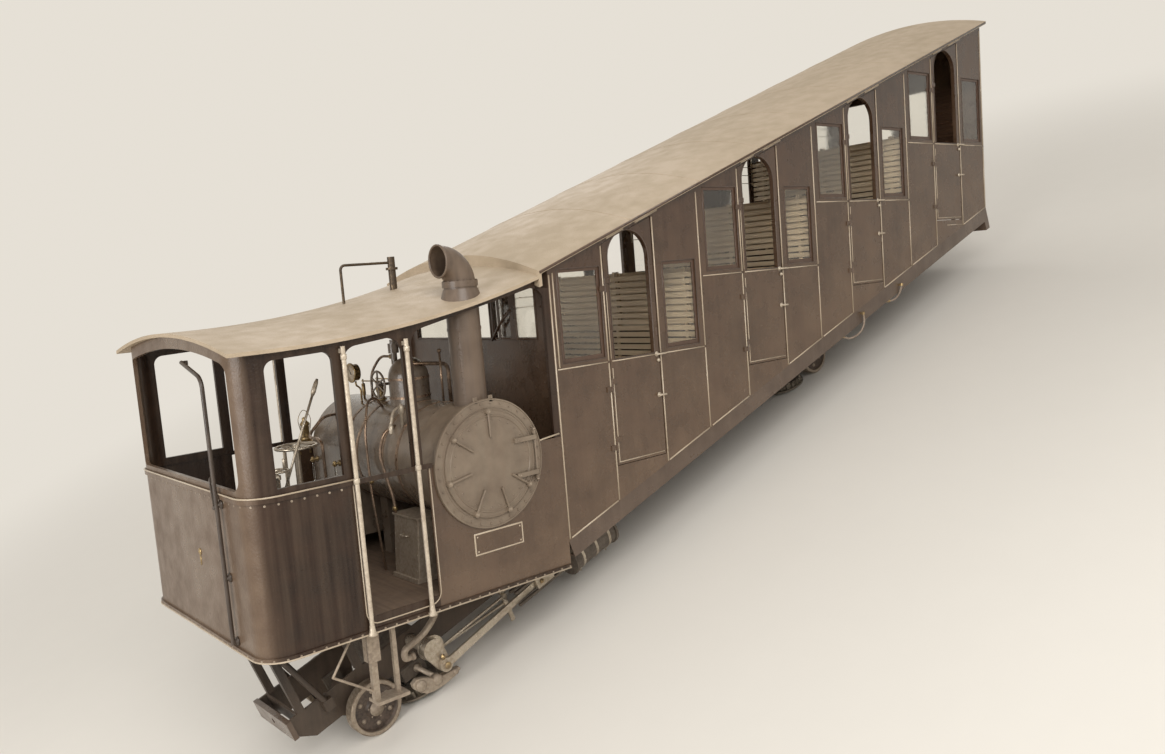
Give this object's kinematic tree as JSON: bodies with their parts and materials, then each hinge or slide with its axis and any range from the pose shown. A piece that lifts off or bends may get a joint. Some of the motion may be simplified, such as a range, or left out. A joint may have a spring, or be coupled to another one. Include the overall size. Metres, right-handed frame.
{
  "type": "steam rack railcar",
  "caption": "Steam rack railcar for a steep line: stepped leaning body with hinged doors, cab with boiler set across, flangeless wheels and flat rack pinions.",
  "frame": {"origin": "on the track plane under the middle of the car's overall box, chassis level", "axes": "+X uphill along the track, +Y across to the side away from the smokebox front, +Z square to the track plane; the body leans 19.8 degrees so that its floors are level on the slope"},
  "size_m": [10.7822, 2.3243, 3.3962],
  "materials": {
    "body_paint": "semi-gloss",
    "sill_paint": "semi-gloss",
    "roof_paint": "matt",
    "frame_paint": "matt",
    "smokebox_paint": "matt",
    "boiler_cladding": "satin",
    "chimney_paint": "matt",
    "wheel_steel": "worn",
    "rod_steel": "bright",
    "casting": "rough",
    "pinion_steel": "oily",
    "rail_steel": "worn bright",
    "bench_wood": "varnished",
    "floor_wood": "worn",
    "glass": "clear",
    "hose_rubber": "matt",
    "brass": "worn"
  },
  "bodies": {
    "root": {"axle_boxes": "casting", "benches": "bench_wood", "boiler": "boiler_cladding", "boiler_sheet_far": "body_paint", "boiler_sheet_near": "body_paint", "brake_column": "rail_steel", "brake_gear_case": "casting", "cab_floor": "floor_wood", "cab_frame": "body_paint", "cab_front_sheet": "body_paint", "cab_rails": "body_paint", "cab_roof": "roof_paint", "cab_side_sheets": "body_paint", "cab_steps": "rail_steel", "cab_supports": "frame_paint", "cant_rails": "body_paint", "chimney": "chimney_paint", "chimney_elbow": "chimney_paint", "compartment_floors": "floor_wood", "control_levers": "rail_steel", "cross_members": "frame_paint", "cylinders": "casting", "door_posts": "rail_steel", "drive_gear_case": "casting", "end_beams": "frame_paint", "engine_crankshaft": "rod_steel", "engine_rods": "rod_steel", "frame_plates": "frame_paint", "frame_stretchers": "frame_paint", "front_bulkhead": "body_paint", "front_handrail": "rail_steel", "hose_glands": "brass", "hose_long": "hose_rubber", "hose_short": "hose_rubber", "partitions": "body_paint", "passenger_roof": "roof_paint", "rear_wall": "body_paint", "side_sills": "sill_paint", "side_wall_far": "body_paint", "side_wall_near": "body_paint", "smokebox": "smokebox_paint", "whistle_pipe": "brass", "window_glass": "glass"},
    "door_near_1": {"door_near_1": "body_paint"},
    "door_far_1": {"door_far_1": "body_paint"},
    "door_near_2": {"door_near_2": "body_paint"},
    "door_far_2": {"door_far_2": "body_paint"},
    "door_near_3": {"door_near_3": "body_paint"},
    "door_far_3": {"door_far_3": "body_paint"},
    "door_near_4": {"door_near_4": "body_paint"},
    "door_far_4": {"door_far_4": "body_paint"},
    "wheelset_lower": {"wheelset_lower": "wheel_steel"},
    "wheelset_upper": {"wheelset_upper": "wheel_steel"},
    "drive_pinion_far": {"drive_pinion_far": "pinion_steel"},
    "drive_pinion_near": {"drive_pinion_near": "pinion_steel"},
    "brake_pinion_far": {"brake_pinion_far": "pinion_steel"},
    "brake_pinion_near": {"brake_pinion_near": "pinion_steel"},
    "smokebox_door": {"smokebox_door": "smokebox_paint"}
  },
  "joints": [
    {"name": "door_near_1_hinge", "type": "hinge", "parent": "root", "child": "door_near_1", "pos_m": [-1.89071, -1.11, 1.79171], "axis": [-0.3387, 0, -0.9409], "range_deg": [0, 95]},
    {"name": "door_far_1_hinge", "type": "hinge", "parent": "root", "child": "door_far_1", "pos_m": [-1.89071, 1.11, 1.79171], "axis": [0.3387, 0, 0.9409], "range_deg": [0, 95]},
    {"name": "door_near_2_hinge", "type": "hinge", "parent": "root", "child": "door_near_2", "pos_m": [-0.03075, -1.11, 1.79171], "axis": [-0.3387, 0, -0.9409], "range_deg": [0, 95]},
    {"name": "door_far_2_hinge", "type": "hinge", "parent": "root", "child": "door_far_2", "pos_m": [-0.03075, 1.11, 1.79171], "axis": [0.3387, 0, 0.9409], "range_deg": [0, 95]},
    {"name": "door_near_3_hinge", "type": "hinge", "parent": "root", "child": "door_near_3", "pos_m": [1.82921, -1.11, 1.79171], "axis": [-0.3387, 0, -0.9409], "range_deg": [0, 95]},
    {"name": "door_far_3_hinge", "type": "hinge", "parent": "root", "child": "door_far_3", "pos_m": [1.82921, 1.11, 1.79171], "axis": [0.3387, 0, 0.9409], "range_deg": [0, 95]},
    {"name": "door_near_4_hinge", "type": "hinge", "parent": "root", "child": "door_near_4", "pos_m": [3.68917, -1.11, 1.79171], "axis": [-0.3387, 0, -0.9409], "range_deg": [0, 95]},
    {"name": "door_far_4_hinge", "type": "hinge", "parent": "root", "child": "door_far_4", "pos_m": [3.68917, 1.11, 1.79171], "axis": [0.3387, 0, 0.9409], "range_deg": [0, 95]},
    {"name": "wheelset_lower_spin", "type": "hinge", "parent": "root", "child": "wheelset_lower", "pos_m": [-4.6647, 0, 0.215], "axis": [0, 1, 0], "continuous": true},
    {"name": "wheelset_upper_spin", "type": "hinge", "parent": "root", "child": "wheelset_upper", "pos_m": [1.4353, 0, 0.215], "axis": [0, 1, 0], "continuous": true},
    {"name": "drive_pinion_far_spin", "type": "hinge", "parent": "root", "child": "drive_pinion_far", "pos_m": [-4.2297, 0.25, 0.058], "axis": [0, 0, 1], "continuous": true},
    {"name": "drive_pinion_near_spin", "type": "hinge", "parent": "root", "child": "drive_pinion_near", "pos_m": [-4.2297, -0.25, 0.058], "axis": [0, 0, 1], "continuous": true},
    {"name": "brake_pinion_far_spin", "type": "hinge", "parent": "root", "child": "brake_pinion_far", "pos_m": [1.0003, 0.25, 0.058], "axis": [0, 0, 1], "continuous": true},
    {"name": "brake_pinion_near_spin", "type": "hinge", "parent": "root", "child": "brake_pinion_near", "pos_m": [1.0003, -0.25, 0.058], "axis": [0, 0, 1], "continuous": true},
    {"name": "smokebox_door_hinge", "type": "hinge", "parent": "root", "child": "smokebox_door", "pos_m": [-2.91817, -1.143, 1.52392], "axis": [0.3387, 0, 0.9409], "range_deg": [0, 110]}
  ],
  "couplings": [
    {"joint": "drive_pinion_near_spin", "follows": "drive_pinion_far_spin", "ratio": -1}
  ]
}
